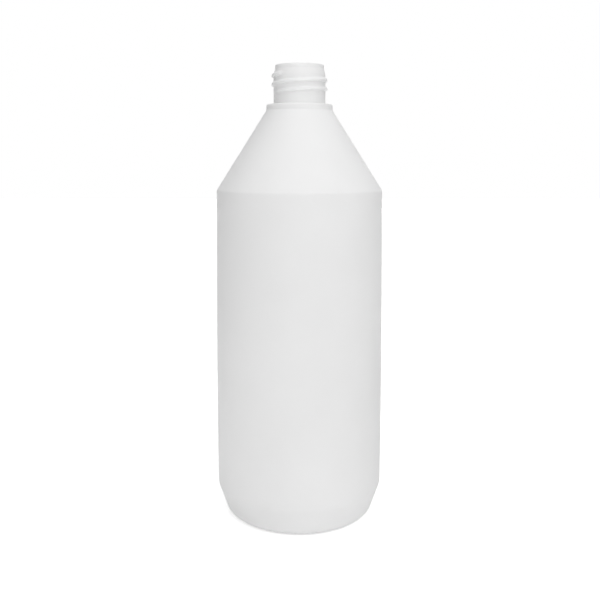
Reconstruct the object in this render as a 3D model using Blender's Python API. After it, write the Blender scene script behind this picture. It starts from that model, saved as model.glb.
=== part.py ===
"""A one-litre bottle with a screw neck, blow-moulded in one piece from white polyethylene.

Metres, +Z up. The bottle stands on z = 0 with its axis on Z, and its front faces -Y. One closed outline,
turned round the axis, makes the wall: its outer side down from the lip, and its inner side up to it. The
screw thread and the pinch-off line that the mould leaves under the base are swept bars joined to it.
"""

from math import acos, atan, ceil, cos, pi, radians, sin, tan

import bpy
from mathutils import Vector

# Body
HEIGHT = 0.2275
HEEL_RADIUS = 0.0423
SHOULDER_RADIUS = 0.0413
SHOULDER_HEIGHT = 0.1665
SHOULDER_FILLET = 0.0036
WALL = 0.0009

# Heel and base
HEEL_HEIGHT = 0.0163
HEEL_LEAN = radians(18.9)
HEEL_FILLET = 0.0080
FOOT_FILLET = 0.0052
STANDING_RING_WIDTH = 0.0030
BASE_WALL = 0.0015
PUSH_UP = 0.0036
PUSH_UP_RIM = 0.0026
PUSH_UP_SLOPE = radians(35)
PUSH_UP_RINGS = 4

# Neck
NECK_RADIUS = 0.01272
NECK_WALL = 0.00195
NECK_FLARE = 0.0018
LAND_STEP = 0.0007
LAND_HEIGHT = 0.0020
LIP_FILLET = 0.0003

# Collar at the foot of the neck
COLLAR_REACH = 0.00364
COLLAR_DEPTH = 0.0190
COLLAR_THICKNESS = 0.0028
COLLAR_FILLET = 0.0006

# Thread: a right-handed ridge of about two turns, six to the inch, from the front left to the front left
THREAD_PITCH = 0.004233
THREAD_SWEEP = radians(740)
THREAD_START_DEPTH = 0.01287
THREAD_START_ANGLE = radians(215)
THREAD_HEIGHT = 0.00096
THREAD_FOOT_WIDTH = 0.0026
THREAD_CREST_WIDTH = 0.0008
THREAD_RUN_OUT = radians(25)
THREAD_ROOTING = 0.0005

# Pinch-off line under the base
PINCH_HALF_LENGTH = 0.0200
PINCH_FOOT_WIDTH = 0.0016
PINCH_EDGE_WIDTH = 0.0005
PINCH_HEIGHT = 0.0004
PINCH_STEPS = 8
PINCH_END_SHARE = 0.4

# Fineness of the turned faces
SEGMENTS = 64
OUTLINE_TOLERANCE = 0.00003
SHARP_ANGLE = radians(40)
MERGE_DISTANCE = 0.00001

# White polyethylene, satin
COLOUR = (0.86, 0.86, 0.85, 1.0)
ROUGHNESS = 0.42

# Worked out from the sizes above
bore_radius = NECK_RADIUS - NECK_WALL
collar_radius = NECK_RADIUS + COLLAR_REACH
collar_top = HEIGHT - COLLAR_DEPTH
collar_foot = collar_top - COLLAR_THICKNESS
foot_radius = HEEL_RADIUS - HEEL_HEIGHT * tan(HEEL_LEAN)
ring_outer_radius = foot_radius - FOOT_FILLET * tan((pi / 2 - HEEL_LEAN) / 2)
ring_inner_radius = ring_outer_radius - STANDING_RING_WIDTH
rim_radius = ring_inner_radius - PUSH_UP_RIM / tan(PUSH_UP_SLOPE)
cone_lean = atan((SHOULDER_RADIUS - collar_radius) / (collar_foot - SHOULDER_HEIGHT))


def clear_scene():
    for thing in list(bpy.data.objects):
        bpy.data.objects.remove(thing, do_unlink=True)


def push_up_height(radius):
    """Height of the base's hollow underside, a shallow dome, at a distance from the axis."""
    return PUSH_UP - (PUSH_UP - PUSH_UP_RIM) * (radius / rim_radius) ** 2


def dome(rise, radius):
    """Corners of the dome from the axis out to a radius, lifted by a rise."""
    return [
        (radius * ring / PUSH_UP_RINGS, rise + push_up_height(rim_radius * ring / PUSH_UP_RINGS), 0)
        for ring in range(PUSH_UP_RINGS + 1)
    ]


def inner_corners():
    """Corners (radius, height, fillet) of the inside, from the middle of the base up to the lip."""
    slope_shift = BASE_WALL * tan(PUSH_UP_SLOPE / 2)
    floor_radius = foot_radius + BASE_WALL * tan(HEEL_LEAN) - WALL / cos(HEEL_LEAN)
    cone_foot = SHOULDER_HEIGHT - WALL * tan(cone_lean / 2)
    return [
        *dome(BASE_WALL, rim_radius + slope_shift),
        (ring_inner_radius + slope_shift, BASE_WALL, 0),
        (floor_radius, BASE_WALL, FOOT_FILLET - WALL),
        (HEEL_RADIUS - WALL, HEEL_HEIGHT + WALL * tan(HEEL_LEAN / 2), HEEL_FILLET - WALL),
        (SHOULDER_RADIUS - WALL, cone_foot, SHOULDER_FILLET - WALL),
        (bore_radius + NECK_FLARE, collar_foot, NECK_FLARE),
        (bore_radius, collar_top + COLLAR_FILLET, NECK_FLARE),
        (bore_radius, HEIGHT, LIP_FILLET),
    ]


def outer_corners():
    """Corners (radius, height, fillet) of the outside, from the lip down to the middle of the base."""
    land_radius = NECK_RADIUS - LAND_STEP
    land_foot = HEIGHT - LAND_HEIGHT
    return [
        (land_radius, HEIGHT, LIP_FILLET),
        (land_radius, land_foot, 0),
        (NECK_RADIUS, land_foot - LAND_STEP, 0),
        (NECK_RADIUS, collar_top, COLLAR_FILLET),
        (collar_radius, collar_top, COLLAR_FILLET),
        (collar_radius, collar_foot, 0),
        (SHOULDER_RADIUS, SHOULDER_HEIGHT, SHOULDER_FILLET),
        (HEEL_RADIUS, HEEL_HEIGHT, HEEL_FILLET),
        (foot_radius, 0, FOOT_FILLET),
        (ring_inner_radius, 0, 0),
        *reversed(dome(0, rim_radius)),
    ]


def rounded(corners):
    """The outline through these corners, with an arc at each one that has a fillet."""
    points = []
    for place, (radius, height, fillet) in enumerate(corners):
        corner = Vector((radius, height))
        if not fillet:
            points.append(corner)
            continue
        back = (Vector(corners[place - 1][:2]) - corner).normalized()
        ahead = (Vector(corners[place + 1][:2]) - corner).normalized()
        half_angle = back.angle(ahead) / 2
        centre = corner + (back + ahead).normalized() * fillet / sin(half_angle)
        first = corner + back * fillet / tan(half_angle) - centre
        last = corner + ahead * fillet / tan(half_angle) - centre
        steps = ceil((pi - 2 * half_angle) / (2 * acos(1 - OUTLINE_TOLERANCE / fillet)))
        points += [centre + fillet * first.slerp(last, step / steps) for step in range(steps + 1)]
    return points


def mesh_object(name, vertices, edges, faces):
    mesh = bpy.data.meshes.new(name)
    mesh.from_pydata(vertices, edges, faces)
    thing = bpy.data.objects.new(name, mesh)
    bpy.context.scene.collection.objects.link(thing)
    return thing


def turned(name, outline):
    """An object that turns this outline round Z."""
    vertices = [(radius, 0, height) for radius, height in outline]
    edges = [(place, place + 1) for place in range(len(outline) - 1)]
    thing = mesh_object(name, vertices, edges, [])
    screw = thing.modifiers.new("turn", "SCREW")
    screw.steps = SEGMENTS
    screw.render_steps = SEGMENTS
    screw.use_merge_vertices = True
    screw.merge_threshold = MERGE_DISTANCE
    return thing


def swept(name, sections):
    """A closed bar through these sections, each a ring of points that runs the same way round."""
    count = len(sections[0])
    vertices = [point for section in sections for point in section]
    faces = []
    for start in range(0, count * (len(sections) - 1), count):
        for place in range(count):
            after = (place + 1) % count
            faces.append((start + place, start + after, start + count + after, start + count + place))
    faces.append(tuple(reversed(range(count))))
    faces.append(tuple(range(len(vertices) - count, len(vertices))))
    bar = mesh_object(name, vertices, [], faces)
    bar.hide_render = True
    bar.display_type = "WIRE"
    return bar


def thread():
    """The ridge of the thread, rooted in the neck's wall and sinking into it at both ends.

    Its sections stand on the corners of the neck's facets, so that the two meet cleanly.
    """
    sections = []
    first_corner = round(THREAD_START_ANGLE / (2 * pi) * SEGMENTS)
    steps = round(THREAD_SWEEP / (2 * pi) * SEGMENTS)
    run_out_steps = THREAD_RUN_OUT / (2 * pi) * SEGMENTS
    sunk_share = THREAD_ROOTING / 2 / (THREAD_ROOTING + THREAD_HEIGHT)
    for step in range(steps + 1):
        from_end = min(step, steps - step)
        share = sunk_share + (1 - sunk_share) * min(1, from_end / run_out_steps)
        angle = 2 * pi * (first_corner + step) / SEGMENTS
        height = HEIGHT - THREAD_START_DEPTH + THREAD_PITCH * step / SEGMENTS
        root = NECK_RADIUS - THREAD_ROOTING
        crest = root + share * (THREAD_ROOTING + THREAD_HEIGHT)
        edge = crest - share * THREAD_CREST_WIDTH / 2
        foot_half = share * THREAD_FOOT_WIDTH / 2
        edge_half = share * THREAD_CREST_WIDTH
        crest_half = share * THREAD_CREST_WIDTH / 2
        ring = [
            (root, foot_half),
            (edge, edge_half),
            (crest, crest_half),
            (crest, -crest_half),
            (edge, -edge_half),
            (root, -foot_half),
        ]
        sections.append([(r * cos(angle), r * sin(angle), height + rise) for r, rise in ring])
    return swept("thread_ridge", sections)


def pinch_off():
    """The weld line where the mould closed under the base, along the parting plane and following the dome."""
    sections = []
    for step in range(PINCH_STEPS + 1):
        along = PINCH_HALF_LENGTH * (2 * step / PINCH_STEPS - 1)
        share = PINCH_END_SHARE if step in (0, PINCH_STEPS) else 1
        foot_half = share * PINCH_FOOT_WIDTH / 2
        edge_half = share * PINCH_EDGE_WIDTH / 2
        surface = push_up_height(abs(along))
        ring = [
            (foot_half, surface + PINCH_HEIGHT),
            (-foot_half, surface + PINCH_HEIGHT),
            (-edge_half, surface - share * PINCH_HEIGHT),
            (edge_half, surface - share * PINCH_HEIGHT),
        ]
        sections.append([(along, side, height) for side, height in ring])
    return swept("pinch_line", sections)


def join(thing, bar):
    union = thing.modifiers.new(bar.name, "BOOLEAN")
    union.operation = "UNION"
    union.solver = "EXACT"
    union.object = bar


def apply_modifiers(thing):
    graph = bpy.context.evaluated_depsgraph_get()
    thing.data = bpy.data.meshes.new_from_object(thing.evaluated_get(graph))
    thing.modifiers.clear()


def white_polyethylene():
    material = bpy.data.materials.new("white_polyethylene")
    material.use_nodes = True
    shader = material.node_tree.nodes["Principled BSDF"]
    shader.inputs["Base Color"].default_value = COLOUR
    shader.inputs["Roughness"].default_value = ROUGHNESS
    shader.inputs["Metallic"].default_value = 0
    return material


def bottle():
    body = turned("bottle", rounded(inner_corners() + outer_corners()))
    join(body, thread())
    join(body, pinch_off())
    apply_modifiers(body)
    body.data.materials.clear()
    body.data.materials.append(white_polyethylene())
    body.data.shade_smooth()
    body.data.set_sharp_from_angle(angle=SHARP_ANGLE)
    return body


clear_scene()
bottle()
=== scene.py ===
"""The looks of a one-litre white polyethylene bottle with a screw neck, standing in soft studio light."""

from math import acos, atan, ceil, cos, pi, radians, sin, tan

import bpy
from mathutils import Euler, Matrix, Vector


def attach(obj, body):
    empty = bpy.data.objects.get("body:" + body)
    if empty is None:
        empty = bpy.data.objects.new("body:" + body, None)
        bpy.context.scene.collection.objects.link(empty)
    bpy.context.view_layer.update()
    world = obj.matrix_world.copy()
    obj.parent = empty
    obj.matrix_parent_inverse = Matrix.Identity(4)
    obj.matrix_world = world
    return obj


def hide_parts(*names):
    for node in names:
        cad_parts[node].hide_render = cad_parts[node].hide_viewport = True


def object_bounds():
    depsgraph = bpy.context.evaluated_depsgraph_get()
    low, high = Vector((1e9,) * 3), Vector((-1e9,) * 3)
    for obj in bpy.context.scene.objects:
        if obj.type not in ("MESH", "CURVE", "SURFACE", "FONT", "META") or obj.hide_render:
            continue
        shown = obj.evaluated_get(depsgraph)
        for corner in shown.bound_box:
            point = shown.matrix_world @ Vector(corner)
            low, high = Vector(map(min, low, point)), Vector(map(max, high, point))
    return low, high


# The bottle's outline, in metres
SHOULDER_TAPER = 0.0010
SHOULDER_BELOW_TOP = 0.0610
SHOULDER_FILLET = 0.0028
WALL = 0.0009
SWELL = 0.00042
HEEL_HEIGHT = 0.0157
HEEL_LEAN = radians(19.3)
HEEL_FILLET = 0.0080
FOOT_FILLET = 0.0062
STANDING_RING_WIDTH = 0.0030
BASE_WALL = 0.0015
PUSH_UP = 0.0036
PUSH_UP_RIM = 0.0026
PUSH_UP_SLOPE = radians(35)
NECK_RADIUS = 0.01272
NECK_WALL = 0.00195
NECK_FLARE = 0.0018
LAND_STEP = 0.0007
LAND_HEIGHT = 0.0020
LAND_SLOPE = 0.0026
LIP_FILLET = 0.0003
COLLAR_REACH = 0.00364
COLLAR_DEPTH = 0.0190
COLLAR_THICKNESS = 0.0028
COLLAR_FILLET = 0.0006
COLLAR_ROOT_FILLET = 0.0005

# Radii where the solid is left sharp
LAND_FILLET = 0.0015
BLEND_FILLET = 0.0003
RING_FILLET = 0.0006
RIM_FILLET = 0.0012
FLOOR_FILLET = 0.0008

# The thread, as a rise of the neck's surface, with its reach above and below the crest's middle line
THREAD_PITCH = 0.004233
THREAD_START_DEPTH = 0.01324
THREAD_START_ANGLE = radians(205)
THREAD_SWEEP = radians(750)
THREAD_HEIGHT = 0.00096
THREAD_CREST_HALF = 0.0003
THREAD_UPPER_FOOT = 0.0016
THREAD_LOWER_FOOT = 0.0008
THREAD_RUN_OUT = radians(18)

# The mould's parting line up both sides, and the pinch-off line under the base
SEAM_HEIGHT = 0.00007
SEAM_CREST_ANGLE = radians(0.15)
SEAM_FOOT_ANGLE = radians(0.45)
SEAM_LOWEST = 0.0015
PINCH_HALF_LENGTH = 0.0200
PINCH_FOOT_HALF = 0.0009
PINCH_EDGE_HALF = 0.0002
PINCH_HEIGHT = 0.0004
PINCH_END = 0.0015

# Fineness of the mesh
COLUMNS = 256
OUTLINE_TOLERANCE = 0.000004
LONGEST_ARC_STEP = radians(12)
THREAD_ROW = 0.00015
WALL_ROW = 0.008
INNER_RINGS = 6
OUTER_RINGS = 20
SHARP_ANGLE = radians(50)

# The camera, as fitted to the photograph: metres, pixels of the picture, and the sensor in millimetres
CAMERA_DISTANCE = 0.40402
CAMERA_HEIGHT = 0.18345
CAMERA_SIDE = 0.00033
CAMERA_PITCH = radians(8.112)
CAMERA_ROLL = radians(0.06)
FOCAL_PIXELS = 801
SHIFT_PIXELS = -30
PICTURE_PIXELS = 600
SENSOR_WIDTH = 36
CLIP_START = 0.01

# Satin white polyethylene: gloss, how far light spreads inside it, and its darkest and lightest tone
ROUGHNESS = 0.55
GLOSS_LEVEL = 0.12
SPREAD_WEIGHT = 0.35
SPREAD_DISTANCE = 0.0012
TONES = (0.86, 0.885)

# Noise behind the tone and the skin, as scale and detail, and how deep it goes in the skin
PATCHES = (22, 2)
PATCH_SPAN = (0.3, 0.7)
WAVES = (60, 1)
WAVE_DEPTH = 0.00003
GRAIN = (2500, 3)
GRAIN_DEPTH = 0.000006

# Soft studio light: each lamp's name, its place and size in metres and its power in watts, and the sky
SOFTBOXES = (
    ("key_high", (0.45, -1.5, 2.2), 1.8, 20.4),
    ("front_low", (0.3, -2.2, 0.35), 1.2, 15.4),
    ("top", (0.1, 0.1, 2.6), 2.0, 19.5),
    ("fill_left", (-2.3, -0.2, 1.6), 1.8, 1.3),
    ("back", (0, 2.4, 0.4), 0.8, 9),
)
FLOOR_GLOWS = (
    ("glow_left", (-0.15, -0.03, 0.001), 0.16, 0.037),
    ("glow_under", (0, 0, 0.0002), 0.22, 0.0055),
)
WORLD_LEVEL = 0.29

# The floor, just under the standing ring, seen lifted to white, but less so near the bottle
FLOOR_GAP = 0.0002
FLOOR_SIZE = 6
FLOOR_COLOUR = (0.9, 0.9, 0.9, 1)
FLOOR_ROUGHNESS = 0.9
LIFT_REACH = (0.06, 0.45)
LIFTS = (0.55, 1.0)
WHITE = (1, 1, 1, 1)

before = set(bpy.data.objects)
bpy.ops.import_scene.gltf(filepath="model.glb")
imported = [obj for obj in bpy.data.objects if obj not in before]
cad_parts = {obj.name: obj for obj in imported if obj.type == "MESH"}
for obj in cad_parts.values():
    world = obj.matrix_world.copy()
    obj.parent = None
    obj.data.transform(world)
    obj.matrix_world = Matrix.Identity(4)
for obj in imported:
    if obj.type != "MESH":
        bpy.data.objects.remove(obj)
cad_low, cad_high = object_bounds()
height = cad_high.z
heel_radius = cad_high.x
shoulder_radius = heel_radius - SHOULDER_TAPER
shoulder_height = height - SHOULDER_BELOW_TOP
bore_radius = NECK_RADIUS - NECK_WALL
collar_radius = NECK_RADIUS + COLLAR_REACH
collar_top = height - COLLAR_DEPTH
collar_foot = collar_top - COLLAR_THICKNESS
land_foot = height - LAND_HEIGHT
foot_radius = heel_radius - HEEL_HEIGHT * tan(HEEL_LEAN)
ring_outer_radius = foot_radius - FOOT_FILLET * tan((pi / 2 - HEEL_LEAN) / 2)
ring_inner_radius = ring_outer_radius - STANDING_RING_WIDTH
rim_radius = ring_inner_radius - PUSH_UP_RIM / tan(PUSH_UP_SLOPE)
cone_lean = atan((shoulder_radius - collar_radius) / (collar_foot - shoulder_height))


def push_up_height(radius):
    """Height of the base's hollow underside, a shallow dome, at a distance from the axis."""
    return PUSH_UP - (PUSH_UP - PUSH_UP_RIM) * (radius / rim_radius) ** 2


def dome(rise, radius, rings):
    """Corners of the dome from the axis out to a radius, lifted by a rise."""
    return [
        (radius * ring / rings, rise + push_up_height(rim_radius * ring / rings), 0)
        for ring in range(rings + 1)
    ]


def inner_corners():
    """Corners (radius, height, fillet) of the inside, from the middle of the base up to the lip."""
    slope_shift = BASE_WALL * tan(PUSH_UP_SLOPE / 2)
    floor_radius = foot_radius + BASE_WALL * tan(HEEL_LEAN) - WALL / cos(HEEL_LEAN)
    return [
        *dome(BASE_WALL, rim_radius + slope_shift, INNER_RINGS),
        (ring_inner_radius + slope_shift, BASE_WALL, FLOOR_FILLET),
        (floor_radius, BASE_WALL, FOOT_FILLET - WALL),
        (heel_radius - WALL, HEEL_HEIGHT + WALL * tan(HEEL_LEAN / 2), HEEL_FILLET - WALL),
        (shoulder_radius - WALL, shoulder_height - WALL * tan(cone_lean / 2), SHOULDER_FILLET - WALL),
        (bore_radius + NECK_FLARE, collar_foot, NECK_FLARE),
        (bore_radius, collar_top + COLLAR_FILLET, NECK_FLARE),
        (bore_radius, height, LIP_FILLET),
    ]


def outer_corners():
    """Corners (radius, height, fillet) of the outside, from the lip down to the middle of the base."""
    land_radius = NECK_RADIUS - LAND_STEP
    return [
        (land_radius, height, LIP_FILLET),
        (land_radius, land_foot, LAND_FILLET),
        (NECK_RADIUS, land_foot - LAND_SLOPE, LAND_FILLET),
        (NECK_RADIUS, collar_top, COLLAR_ROOT_FILLET),
        (collar_radius, collar_top, COLLAR_FILLET),
        (collar_radius, collar_foot, BLEND_FILLET),
        (shoulder_radius, shoulder_height, SHOULDER_FILLET),
        (heel_radius, HEEL_HEIGHT, HEEL_FILLET),
        (foot_radius, 0, FOOT_FILLET),
        (ring_inner_radius, 0, RING_FILLET),
        (rim_radius, PUSH_UP_RIM, RIM_FILLET),
        *reversed(dome(0, rim_radius, OUTER_RINGS)[:-1]),
    ]


def rounded(corners):
    """The outline through these corners, with an arc at each one that has a fillet."""
    points = []
    for place, (radius, level, fillet) in enumerate(corners):
        corner = Vector((radius, level))
        if not fillet:
            points.append(corner)
            continue
        back = (Vector(corners[place - 1][:2]) - corner).normalized()
        ahead = (Vector(corners[place + 1][:2]) - corner).normalized()
        half_angle = back.angle(ahead) / 2
        centre = corner + (back + ahead).normalized() * fillet / sin(half_angle)
        first = corner + back * fillet / tan(half_angle) - centre
        last = corner + ahead * fillet / tan(half_angle) - centre
        arc_step = min(LONGEST_ARC_STEP, 2 * acos(1 - OUTLINE_TOLERANCE / fillet))
        steps = ceil((pi - 2 * half_angle) / arc_step)
        points += [centre + fillet * first.slerp(last, step / steps) for step in range(steps + 1)]
    return points


def on_threaded_stretch(point):
    """Whether the point is on the outside of the neck, between the collar and the land."""
    return point.x > (bore_radius + NECK_RADIUS) / 2 and collar_top < point.y < land_foot


def with_rows(points):
    """The outline with extra points on its long stretches, close together where the thread is."""
    rows = [points[0]]
    for start, end in zip(points, points[1:]):
        threaded = on_threaded_stretch(start) and on_threaded_stretch(end)
        longest = THREAD_ROW if threaded else WALL_ROW
        count = max(1, ceil((end - start).length / longest))
        rows += [start.lerp(end, row / count) for row in range(1, count + 1)]
    return rows


def column_angles():
    """Angles of the mesh's columns: even ones, and closer ones where the mould's halves met."""
    even = [2 * pi * column / COLUMNS for column in range(COLUMNS)]
    offsets = (-SEAM_FOOT_ANGLE, -SEAM_CREST_ANGLE, SEAM_CREST_ANGLE, SEAM_FOOT_ANGLE)
    close = [(side + offset) % (2 * pi) for side in (0, pi) for offset in offsets]
    return sorted(even + close)


def fade(low, high, value):
    """Falls smoothly from 1 at the low value to 0 at the high one."""
    share = min(1, max(0, (high - value) / (high - low)))
    return share * share * (3 - 2 * share)


def thread_rise(angle, level):
    """How far the thread lifts the neck's surface at this angle round the axis and this height.

    Its underside, which holds the cap, is the steeper one.
    """
    rise = 0
    swept = (angle - THREAD_START_ANGLE) % (2 * pi)
    while swept <= THREAD_SWEEP:
        crest_level = height - THREAD_START_DEPTH + THREAD_PITCH * swept / (2 * pi)
        foot = THREAD_UPPER_FOOT if level > crest_level else THREAD_LOWER_FOOT
        side = fade(THREAD_CREST_HALF, foot, abs(level - crest_level))
        run_out = 1 - fade(0, THREAD_RUN_OUT, min(swept, THREAD_SWEEP - swept))
        rise = max(rise, THREAD_HEIGHT * side * run_out)
        swept += 2 * pi
    return rise


def seam_rise(angle, level):
    """How far the parting line stands out at this angle and height. It stays off the floor and the lip."""
    from_seam = min(angle % pi, pi - angle % pi)
    if not SEAM_LOWEST < level < land_foot:
        return 0
    return SEAM_HEIGHT * fade(SEAM_CREST_ANGLE, SEAM_FOOT_ANGLE, from_seam)


def pinch_drop(x, y):
    """How far the pinch-off line hangs below the hollow of the base at this place."""
    across = fade(PINCH_EDGE_HALF, PINCH_FOOT_HALF, abs(y))
    along = fade(PINCH_HALF_LENGTH - PINCH_END, PINCH_HALF_LENGTH, abs(x))
    return PINCH_HEIGHT * across * along


def swell(level):
    """How far the body's soft wall stands out at this height: most at the middle, nothing at both ends."""
    share = (level - HEEL_HEIGHT) / (shoulder_height - HEEL_HEIGHT)
    return SWELL * max(0, 4 * share * (1 - share))


def wall_point(point, angle, outside):
    """The place on the wall's surface where this outline point comes at this angle."""
    radius = point.x + swell(point.y)
    if on_threaded_stretch(point):
        radius += thread_rise(angle, point.y)
    if outside:
        radius += seam_rise(angle, point.y)
    x = radius * cos(angle)
    y = radius * sin(angle)
    under_base = outside and point.x < rim_radius
    return x, y, point.y - (pinch_drop(x, y) if under_base else 0)


def turned_mesh(name, outline):
    """The outline turned round Z, with the thread, the parting line and the pinch-off line on it.

    Its faces look out of the wall, on the bottle's outside and on its inside.
    """
    angles = column_angles()
    columns = len(angles)
    first_outside = max(range(len(outline)), key=lambda place: outline[place].y) + 1
    vertices = [(0, 0, outline[0].y)]
    for place, point in enumerate(outline[1:-1], 1):
        vertices += [wall_point(point, angle, place >= first_outside) for angle in angles]
    vertices.append((0, 0, outline[-1].y - PINCH_HEIGHT))
    last = len(vertices) - 1
    top_ring = 1 + (len(outline) - 3) * columns
    faces = []
    for column in range(columns):
        after = (column + 1) % columns
        faces.append((0, 1 + column, 1 + after))
        faces.append((last, top_ring + after, top_ring + column))
        for here in range(1, top_ring, columns):
            there = here + columns
            faces.append((here + column, there + column, there + after, here + after))
    mesh = bpy.data.meshes.new(name)
    mesh.from_pydata(vertices, [], faces)
    return mesh


def node_of(tree, kind, place, **settings):
    node = tree.nodes.new(kind)
    node.location = place
    for key, value in settings.items():
        setattr(node, key, value)
    return node


def noise_of(tree, vector, place, kind):
    noise = node_of(tree, "ShaderNodeTexNoise", place)
    scale, detail = kind
    noise.inputs["Scale"].default_value = scale
    noise.inputs["Detail"].default_value = detail
    tree.links.new(vector, noise.inputs["Vector"])
    return noise.outputs["Fac"]


def bump_of(tree, relief, place, depth):
    bump = node_of(tree, "ShaderNodeBump", place)
    bump.inputs["Distance"].default_value = depth
    tree.links.new(relief, bump.inputs["Height"])
    return bump


def mapped(tree, value, place, source, target):
    """Carries a value from the source span over to the target span."""
    span = node_of(tree, "ShaderNodeMapRange", place)
    for label, number in zip(("From Min", "From Max", "To Min", "To Max"), (*source, *target)):
        span.inputs[label].default_value = number
    tree.links.new(value, span.inputs["Value"])
    return span.outputs["Result"]


def polyethylene():
    """Satin white polyethylene: light spreads inside it, and its skin is very slightly uneven."""
    material = bpy.data.materials.new("satin_polyethylene")
    material.use_nodes = True
    tree = material.node_tree
    shader = tree.nodes["Principled BSDF"]
    shader.inputs["Roughness"].default_value = ROUGHNESS
    shader.inputs["Specular IOR Level"].default_value = GLOSS_LEVEL
    shader.inputs["Subsurface Weight"].default_value = SPREAD_WEIGHT
    shader.inputs["Subsurface Radius"].default_value = (1, 1, 1)
    shader.inputs["Subsurface Scale"].default_value = SPREAD_DISTANCE
    vector = node_of(tree, "ShaderNodeTexCoord", (-1400, 0)).outputs["Object"]

    # Thickness of the wall varies a little, which shows as faint tone
    patches = noise_of(tree, vector, (-1100, 200), PATCHES)
    tone = mapped(tree, patches, (-800, 200), PATCH_SPAN, TONES)
    colour = node_of(tree, "ShaderNodeCombineColor", (-500, 200))
    for channel in ("Red", "Green", "Blue"):
        tree.links.new(tone, colour.inputs[channel])
    tree.links.new(colour.outputs["Color"], shader.inputs["Base Color"])

    # The blown skin is softly wavy, with a fine grain from the mould
    waves = bump_of(tree, noise_of(tree, vector, (-1100, -150), WAVES), (-700, -150), WAVE_DEPTH)
    grain = bump_of(tree, noise_of(tree, vector, (-1100, -400), GRAIN), (-450, -300), GRAIN_DEPTH)
    tree.links.new(waves.outputs["Normal"], grain.inputs["Normal"])
    tree.links.new(grain.outputs["Normal"], shader.inputs["Normal"])
    return material


def bottle():
    """The bottle's wall in one piece, which stands in for the plain solid."""
    outline = with_rows(rounded(inner_corners() + outer_corners()))
    mesh = turned_mesh("bottle_wall", outline)
    mesh.materials.append(polyethylene())
    mesh.shade_smooth()
    mesh.set_sharp_from_angle(angle=SHARP_ANGLE)
    wall = bpy.data.objects.new("bottle_wall", mesh)
    bpy.context.scene.collection.objects.link(wall)
    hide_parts("bottle")
    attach(wall, "root")


def sees_background(tree, place):
    """1 for rays that show the background: the camera's own, and those that gloss and glass send on."""
    rays = node_of(tree, "ShaderNodeLightPath", place)
    direct = rays.outputs["Is Camera Ray"]
    for step, kind in enumerate(("Is Glossy Ray", "Is Transmission Ray"), 1):
        either = node_of(tree, "ShaderNodeMath", (place[0] + 200 * step, place[1]), operation="MAXIMUM")
        tree.links.new(direct, either.inputs[0])
        tree.links.new(rays.outputs[kind], either.inputs[1])
        direct = either.outputs["Value"]
    return direct


def studio_floor():
    """A pale floor that keeps the shadow near the bottle and is seen as white away from it."""
    bpy.ops.mesh.primitive_plane_add(size=FLOOR_SIZE, location=(0, 0, -FLOOR_GAP))
    floor = bpy.context.object
    floor.name = "studio_floor"
    material = bpy.data.materials.new("studio_white")
    material.use_nodes = True
    tree = material.node_tree
    shader = tree.nodes["Principled BSDF"]
    shader.inputs["Base Color"].default_value = FLOOR_COLOUR
    shader.inputs["Roughness"].default_value = FLOOR_ROUGHNESS
    shader.inputs["Specular IOR Level"].default_value = 0
    shader.inputs["Emission Color"].default_value = WHITE
    place = node_of(tree, "ShaderNodeTexCoord", (-1300, -200))
    distance = node_of(tree, "ShaderNodeVectorMath", (-1100, -200), operation="LENGTH")
    lift = node_of(tree, "ShaderNodeMath", (-250, 0), operation="MULTIPLY")
    tree.links.new(place.outputs["Object"], distance.inputs[0])
    tree.links.new(sees_background(tree, (-850, 100)), lift.inputs[0])
    tree.links.new(mapped(tree, distance.outputs["Value"], (-850, -200), LIFT_REACH, LIFTS), lift.inputs[1])
    tree.links.new(lift.outputs["Value"], shader.inputs["Emission Strength"])
    floor.data.materials.append(material)


def studio_world():
    """White where it is seen past the floor, and a plain even sky for the light that it gives."""
    world = bpy.data.worlds.new("studio")
    bpy.context.scene.world = world
    world.use_nodes = True
    tree = world.node_tree
    background = tree.nodes["Background"]
    background.inputs["Color"].default_value = WHITE
    level = mapped(tree, sees_background(tree, (-900, 200)), (-300, 200), (0, 1), (WORLD_LEVEL, 1))
    tree.links.new(level, background.inputs["Strength"])


def softbox(name, place, size, power, target):
    """A square lamp that shines from its place towards a target. The camera doesn't see it."""
    lamp = bpy.data.lights.new(name, "AREA")
    lamp.shape = "SQUARE"
    lamp.size = size
    lamp.energy = power
    thing = bpy.data.objects.new(name, lamp)
    thing.location = place
    thing.rotation_euler = (Vector(target) - Vector(place)).to_track_quat("-Z", "Y").to_euler()
    thing.visible_camera = False
    bpy.context.scene.collection.objects.link(thing)


def studio_light():
    """Softboxes aimed at the middle of the bottle, and glows that rise from the floor like bounced light."""
    for name, place, size, power in SOFTBOXES:
        softbox(name, place, size, power, (0, 0, height / 2))
    for name, place, size, power in FLOOR_GLOWS:
        softbox(name, place, size, power, (place[0], place[1], height))


def studio_camera():
    """The camera that took the photograph, as fitted to it."""
    data = bpy.data.cameras.new("camera")
    data.sensor_width = SENSOR_WIDTH
    data.lens = FOCAL_PIXELS * SENSOR_WIDTH / PICTURE_PIXELS
    data.shift_y = SHIFT_PIXELS / PICTURE_PIXELS
    data.clip_start = CLIP_START
    camera = bpy.data.objects.new("camera", data)
    camera.location = (CAMERA_SIDE, -CAMERA_DISTANCE, CAMERA_HEIGHT)
    facing = Euler((pi / 2 - CAMERA_PITCH, 0, 0)).to_matrix()
    camera.rotation_euler = (facing @ Euler((0, 0, CAMERA_ROLL)).to_matrix()).to_euler()
    bpy.context.scene.collection.objects.link(camera)
    bpy.context.scene.camera = camera


studio_camera()
bottle()
studio_floor()
studio_world()
studio_light()
bpy.context.scene.view_settings.view_transform = "Standard"
